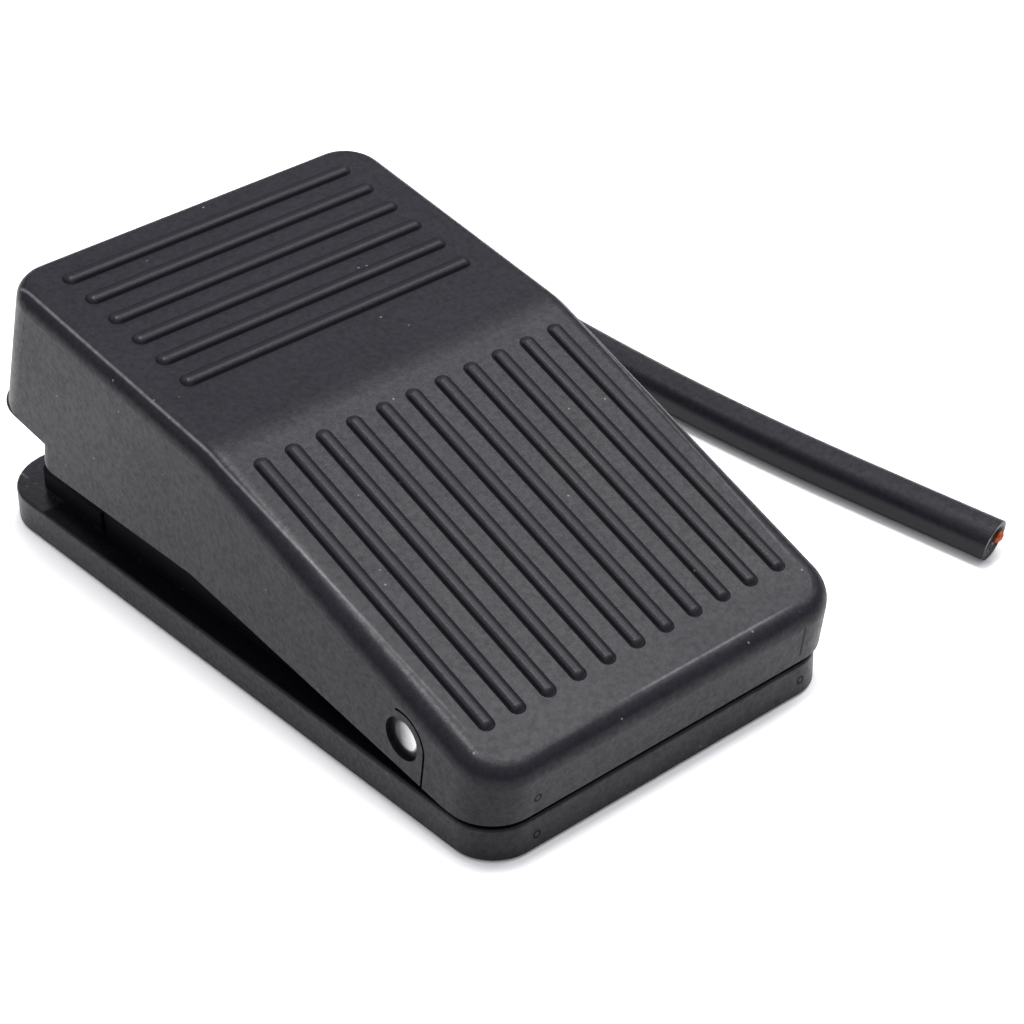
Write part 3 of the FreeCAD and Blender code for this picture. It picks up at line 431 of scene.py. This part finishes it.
# %% Dust, shade and marks on the tray
LEDGE_TOP = 4.85
INNER_WALL, INSIDE = 24.45, 24.6
HEEL_FACE = -50.0
DUST = (0.16, 0.155, 0.15)
TRAY_MARKS = ((-20.4, 2.25), (21.9, 2.45))

tray = Moulding("moulded_plastic_tray", 0.72)
across = tray.mm("X")
along = tray.mm("Y")
high = tray.mm("Z")
side = across.math("ABSOLUTE")
ledge = high.near(LEDGE_TOP, 0.12, 0.15)
patchy = tray.noise(420, 3, 0.8).above(0.55, 0.16)
dust = ledge * side.near(INNER_WALL, 0.12, 0.3) * patchy * along.above(20.0, 6.0)
tray.paint(dust * 0.6, DUST)
tray.polish(ledge, -0.10)
# painted shade on the inner wall under the cover
tray.shade(high.above(5.1, 0.1) * side.near(0.0, INSIDE, 0.2), 0.80)
# painted shade on the ledge under the cover's sides
tray.shade(ledge * along.near(-5.0, 44.3, 0.8), 0.80)
for middle in TRAY_MARKS:
    tray.shade(round_mark(across, high, middle) * along.near(HEEL_FACE, 1.5, 0.3), 0.75)
dress(tray.satin(0.00006, 1.32), "base_tray")

# %% [markdown]
# ## The sheared pin
#
# The hinge pin is a length of steel bar cropped by a shear. Its end is painted with light and
# shade: pale towards the heel and dark towards the toe, with a darker rim, and a little glossier
# on the pale side. Both ends look alike, so the finish goes by the distance from the pin's axis.

# %% The hinge pin's end
# painted light and shade on the pin's end: a pale grey, a dark grey and a darker rim
PAINTED_LIT_GREY, PAINTED_SHADE_GREY, RIM = (0.72, 0.72, 0.73), (0.09, 0.09, 0.093), (0.05, 0.05, 0.052)

bar = Finish("sheared_steel_bar")
heelward = HINGE_Y - bar.mm("Y")
upward = bar.mm("Z") - HINGE_Z
from_axis = (heelward * heelward + upward * upward).math("SQRT")
torn = bar.noise(1800, 3, 0.7)
# painted light and shade: paler towards the heel, darker towards the toe
painted_light_side = (heelward + torn * 0.9 - 0.45).above(0.3, 3.0)
bar_tone = bar.mix(painted_light_side, PAINTED_SHADE_GREY, PAINTED_LIT_GREY)
bar_tone = bar.mix(from_axis.above(1.78, 0.16) * 0.9, bar_tone, RIM)
dress(bar.shine(Base_Color=bar_tone, Metallic=1.0, Roughness=0.42 - painted_light_side * 0.16,
                Normal=bar.bump(torn, 0.00004, 0.5)), "hinge_pin")

# %% [markdown]
# ## Metal inside
#
# Under the cover sit brass contacts, plated screws, a leaf lever and a spring of drawn wire.
# Metal takes its look from fine marks along the way it was drawn, rolled or ground, so one
# function stretches the noise by a scale for each axis.

# %% Metal finishes


def metal(name, colour, rough, relief, scale):
    """Metal with fine marks along its grain. Marks = noise at place * scale, axis by axis."""
    finish = Finish(name)
    along = finish.node("ShaderNodeVectorMath", {"operation": "MULTIPLY"}, [finish.place, scale])
    marks = finish.noise(1.0, 3, 0.6, where=along)
    dull = finish.noise(600, 2)
    tone = finish.mix(marks * 0.5 + dull * 0.3, times(colour, 0.78), colour)
    return finish.shine(Base_Color=tone, Metallic=1.0,
                        Roughness=marks * 0.15 + dull * 0.1 + (rough - 0.12),
                        Normal=finish.bump(marks, 0.00003, relief))


ground_steel = metal("ground_steel_pin", (0.80, 0.80, 0.81), 0.24, 0.4, (2500, 9000, 9000))
drawn_wire = metal("drawn_spring_wire", (0.52, 0.52, 0.53), 0.3, 0.3, (4000, 4000, 4000))
plated = metal("plated_screw", (0.68, 0.68, 0.65), 0.3, 0.3, (5000, 5000, 5000))
contact_brass = metal("contact_brass", (0.75, 0.58, 0.28), 0.32, 0.3, (6000, 900, 6000))
leaf_steel = metal("leaf_steel_lever", (0.60, 0.60, 0.60), 0.28, 0.3, (6000, 900, 6000))
dress(ground_steel, "lever_pin")
dress(drawn_wire, "return_spring")
dress(plated, "switch_screws", "clamp_screws")
dress(contact_brass, "open_terminal", "closed_terminal", "common_terminal", "contact_arm")
dress(leaf_steel, "switch_lever")

# %% [markdown]
# ## Small mouldings
#
# The switch's case, the feet, the cable's bushing and the two cores are plain mouldings. Each
# gets a faint grain and slow changes of sheen, and rubber is rougher and finer than PVC.

# %% Plastic and rubber finishes


def plain_plastic(name, colour, rough, scale=1500):
    """A small moulding: faint grain and slow changes of sheen."""
    finish = Finish(name)
    slow = finish.noise(200, 2)
    fine = finish.noise(scale, 3, 0.6)
    tone = finish.mix(slow * 0.6 + fine * 0.4, times(colour, 0.75), colour)
    return finish.shine(Base_Color=tone, Roughness=slow * 0.15 + (rough - 0.07),
                        Normal=finish.bump(fine, 0.00004, 0.4), IOR=1.33)


switch_plastic = plain_plastic("switch_body_plastic", (0.030, 0.030, 0.034), 0.4)
foot_rubber = plain_plastic("foot_rubber", (0.030, 0.030, 0.030), 0.85, 3000)
bush_rubber = plain_plastic("bushing_rubber", (0.026, 0.026, 0.027), 0.7, 3000)
lead_brown = plain_plastic("lead_brown_pvc", (0.30, 0.11, 0.04), 0.4)
lead_pale = plain_plastic("lead_pale_pvc", (0.60, 0.58, 0.52), 0.4)
dress(switch_plastic, "switch_case", "switch_lid", "switch_plunger", "cable_clamp")
dress(foot_rubber, "foot_pads")
dress(bush_rubber, "cable_bushing")
dress(lead_brown, "common_lead")
dress(lead_pale, "open_lead")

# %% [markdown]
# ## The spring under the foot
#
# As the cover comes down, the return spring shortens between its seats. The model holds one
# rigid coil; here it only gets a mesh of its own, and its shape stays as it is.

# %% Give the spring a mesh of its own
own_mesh(nodes["return_spring"])

# %% [markdown]
# ## The cable
#
# A two-core cable with a soft black sheath, cut off bare. It leaves the middle of the toe
# end, turns round behind the pedal and runs back beside it on the table. A bevelled NURBS
# curve is the natural way to make it, because it has the even bends of a springy cable.

# %% The cable's line
CABLE_RADIUS = 2.9 * MM
ROUTE = [
    (0.0, 33.642, 6.3), (0.0, 48.142, 6.3), (4.0, 63.142, 4.0), (14.0, 77.1, 2.9),
    (27.5, 81.1, 2.9), (41.0, 77.4, 2.9), (50.6, 67.2, 2.9), (54.7, 52.6, 2.9),
    (55.2, 36.1, 2.9), (55.15, 19.1, 2.9), (55.75, 1.6, 2.9), (57.15, -15.4, 2.9),
    (59.05, -30.9, 2.9), (60.8, -44.5, 2.9),
]


def nurbs(name, points, radius):
    """One open NURBS spline, thickened to a round tube. The tube's radius sits on the points and
    the bevel's depth is 1, because Blender's box of a curve reaches out by each point's radius."""
    curve = bpy.data.curves.new(name, "CURVE")
    curve.dimensions = "3D"
    curve.resolution_u = 16
    curve.bevel_depth = 1.0
    curve.bevel_resolution = 12
    curve.use_fill_caps = True
    spline = curve.splines.new("NURBS")
    spline.points.add(len(points) - 1)
    flat = np.ones((len(points), 4))
    flat[:, :3] = np.array(points) * MM
    spline.points.foreach_set("co", flat.ravel())
    spline.points.foreach_set("radius", np.full(len(points), radius))
    spline.order_u = 3
    spline.use_endpoint_u = True
    piece = bpy.data.objects.new(name, curve)
    scene.collection.objects.link(piece)
    return piece


cable = nurbs("cable_sheath", ROUTE, CABLE_RADIUS)
print("cable with", len(ROUTE), "control points")

# %% [markdown]
# ## The sheath
#
# The sheath is soft PVC, a little shinier than the cover. Its underside gets painted shade:
# below a set height a matt black band takes part of its shine, so it mirrors less of the white table.

# %% The sheath's finish
PAINTED_SHADE_BELOW = 3.4

soft_pvc = Moulding("cable_sheath_pvc", 0.76)
# painted shade on the underside of the cable
soft_pvc.shade(1 - soft_pvc.mm("Z").above(PAINTED_SHADE_BELOW, 2.0), 0.46)
sheath = soft_pvc.satin(0.00004, 1.355)
cable.data.materials.append(sheath)
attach(cable, "tray")
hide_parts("cable")
dress(sheath, "inner_cable")

# %% [markdown]
# ## The cable's own line
#
# The pieces on the cable's end need its last point and direction. Both come from the spline
# itself: with its thickness off, a curve turns into a mesh that is one string of points.

# %% Follow the cable's line


def line_of(piece):
    """The points of a curve's own line, read with its thickness off."""
    thick, piece.data.bevel_depth = piece.data.bevel_depth, 0
    mesh = bpy.data.meshes.new_from_object(piece.evaluated_get(bpy.context.evaluated_depsgraph_get()))
    piece.data.bevel_depth = thick
    points = np.zeros(len(mesh.vertices) * 3)
    mesh.vertices.foreach_get("co", points)
    return points.reshape(-1, 3)


centre = line_of(cable)

# %% [markdown]
# ## The cut end
#
# Snips left the end of the cable a little slanting. It shows how the cable is made: the black
# sheath, a thin pale wrap inside it, and two cores, one of them with its copper pulled out.
# Each is a turned form, a profile of radius and height swept round the cable's own direction
# at its last point. The slant and the overhang then move each point along the cable by how far
# it lies aside and how high.

# %% Turned pieces on the end of the cable
last_run = centre[-1] - centre[-2]
WAY = last_run / np.linalg.norm(last_run)
END = centre[-1] + 0.20 * MM * WAY
UP = np.array((0.0, 0.0, 1.0))
ASIDE = np.cross(UP, WAY)
SLANT = 0.12
OVERHANG = 0.22
STEPS = 40


def turned(name, profile, aside=0.0, rise=0.0):
    """A closed turned form. Point = end + aside * (a + r cos) + up * (b + r sin) + way * height,
    and above the joint the height drops by slant * distance aside and gains overhang * rise."""
    radius, height = np.array(profile).T
    around = np.linspace(0, 2 * np.pi, STEPS, endpoint=False)
    over = aside + radius[:, None] * np.cos(around)
    above = rise + radius[:, None] * np.sin(around)
    along = height[:, None] + (OVERHANG * above - SLANT * over) * (height[:, None] > 0)
    points = END + MM * (over[..., None] * ASIDE + above[..., None] * UP + along[..., None] * WAY)
    rows, columns = np.meshgrid(np.arange(len(radius)), np.arange(STEPS), indexing="ij")
    down = (rows + 1) % len(radius) * STEPS
    beside = (columns + 1) % STEPS
    quads = np.stack([rows * STEPS + columns, rows * STEPS + beside, down + beside, down + columns], axis=-1)
    mesh = bpy.data.meshes.new(name)
    mesh.from_pydata(points.reshape(-1, 3).tolist(), [], quads.reshape(-1, 4).tolist())
    tool = bmesh.new()
    tool.from_mesh(mesh)
    bmesh.ops.remove_doubles(tool, verts=tool.verts, dist=1e-7)
    bmesh.ops.recalc_face_normals(tool, faces=tool.faces)
    tool.to_mesh(mesh)
    tool.free()
    piece = bpy.data.objects.new(name, mesh)
    scene.collection.objects.link(piece)
    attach(piece, "tray")
    print(name, "faces", len(mesh.polygons))
    return piece


tip = turned("cut_sheath", [
    (2.9, -0.35), (2.9, 1.45), (2.82, 1.52), (2.30, 1.52), (2.2, 1.45), (2.2, -0.35)])
hollow = turned("cut_hollow", [
    (0, 1.32), (2.0, 1.32), (2.15, 1.36), (2.15, -0.35), (0, -0.35)])
wrap = turned("cut_wrap", [
    (1.95, 1.2), (1.97, 1.42), (2.03, 1.46), (2.12, 1.46), (2.18, 1.42), (2.18, 1.2)])
copper = turned("cut_copper", [
    (0, 2.3), (0.42, 2.2), (0.74, 2.0), (0.90, 1.7), (0.94, 1.2), (0, 1.2)], 0.70, 0.35)
sleeve = turned("cut_sleeve", [
    (0.50, 1.2), (0.50, 1.45), (0.56, 1.52), (0.72, 1.52), (0.80, 1.45), (0.80, 1.2)], -0.75, -0.70)

# %% [markdown]
# ## Finishes of the cut end
#
# The hollow between the cores is nearly black, the wrap is a greyed paper, and the copper is
# dull and dark where the snips smeared it.

dark_filler = plain_plastic("cable_filler", (0.006, 0.005, 0.005), 0.7, 3000)
pale_wrap = plain_plastic("cable_wrap", (0.075, 0.072, 0.064), 0.6, 3000)
red_copper = metal("copper_strands", (0.33, 0.088, 0.036), 0.55, 0.6, (4000, 1500, 4000))
for piece, finish in ((tip, sheath), (hollow, dark_filler), (wrap, pale_wrap), (copper, red_copper),
                      (sleeve, pale_wrap)):
    piece.data.materials.append(finish)

# %% [markdown]
# ## The table
#
# The photograph is a product shot on a burnt-out white table. A plain white plane with a
# little light of its own stays white in the render, and still takes a soft shadow.

# %% The table
TABLE_HALF = 4.0
CORNERS = [(-TABLE_HALF, -TABLE_HALF, 0), (TABLE_HALF, -TABLE_HALF, 0),
           (TABLE_HALF, TABLE_HALF, 0), (-TABLE_HALF, TABLE_HALF, 0)]

scene.view_settings.view_transform = "Standard"
floor_mesh = bpy.data.meshes.new("table_top")
floor_mesh.from_pydata(CORNERS, [], [(0, 1, 2, 3)])
floor = bpy.data.objects.new("table_top", floor_mesh)
scene.collection.objects.link(floor)
white = Finish("white_table")
floor_mesh.materials.append(white.shine(Base_Color=(0.82, 0.82, 0.82), Roughness=0.9,
                                        Emission_Color=(1.0, 1.0, 1.0), Emission_Strength=0.06))
print("table", 2 * TABLE_HALF, "m across")

# %% [markdown]
# ## The sky
#
# Black plastic is lit by what it mirrors, so the sky is bright overhead and dim along the
# horizon: that gives the dark bands on the rounded edges and the paler walls below them. A
# ramp over the height in the sky holds its brightness, very slightly violet as the plastic is.

# %% The sky
SKY_STRENGTH = 2.0
SKY_TINT = (1.0, 0.985, 1.045)
SKY = [
    (0.0, 0.08), (0.30, 0.13), (0.50, 0.56), (0.60, 0.50),
    (0.69, 0.38), (0.76, 0.44), (0.86, 0.62), (1.0, 0.60),
]

sky = Graph(bpy.data.worlds.new("studio_sky"))
way = sky.node("ShaderNodeTexCoord", out="Generated")
how_high = sky.node("ShaderNodeSeparateXYZ", None, [way], "Z")
stops = [(spot, times(SKY_TINT, glow)) for spot, glow in SKY]
colour = sky.node("ShaderNodeValToRGB", {"stops": stops}, [how_high], "Color")
backdrop = sky.node("ShaderNodeBackground", None, {"Color": colour, "Strength": SKY_STRENGTH})
scene.world = sky.end("ShaderNodeOutputWorld", backdrop)
print("sky from", SKY[0][1], "at the horizon to", SKY[-1][1], "overhead")

# %% [markdown]
# ## The lamps
#
# One lamp hangs nearly overhead, so that the table stays white up to a short soft shadow. A
# larger one to the right lights the slope, and a weak small one behind picks out the edges.

# %% The lamps
LAMP_DISTANCE = 1.2
LAMPS = (
    ("top_lamp", (0.02, 0.0, 1.0), 0.26, 13.0),
    ("slope_lamp", (0.50, -0.04, 0.86), 0.50, 7.6),
    ("edge_lamp", (-0.30, 0.50, 0.81), 0.20, 0.8),
)


def softbox(name, way, width, power):
    """A square lamp that faces the pedal from one direction."""
    lamp = bpy.data.lights.new(name, "AREA")
    lamp.shape = "RECTANGLE"
    lamp.size = lamp.size_y = width
    lamp.energy = power
    piece = bpy.data.objects.new(name, lamp)
    way = Vector(way).normalized()
    piece.location = way * LAMP_DISTANCE
    piece.rotation_euler = way.to_track_quat("Z", "Y").to_euler()
    scene.collection.objects.link(piece)
    print(name, "of", power, "W")


for lamp in LAMPS:
    softbox(*lamp)

# %% [markdown]
# ## Bring the scene up to date
#
# Blender works out the places of all pieces once more. Nothing that we added may make
# the pedal larger than the model.

# %% Update the scene
bpy.context.view_layer.update()
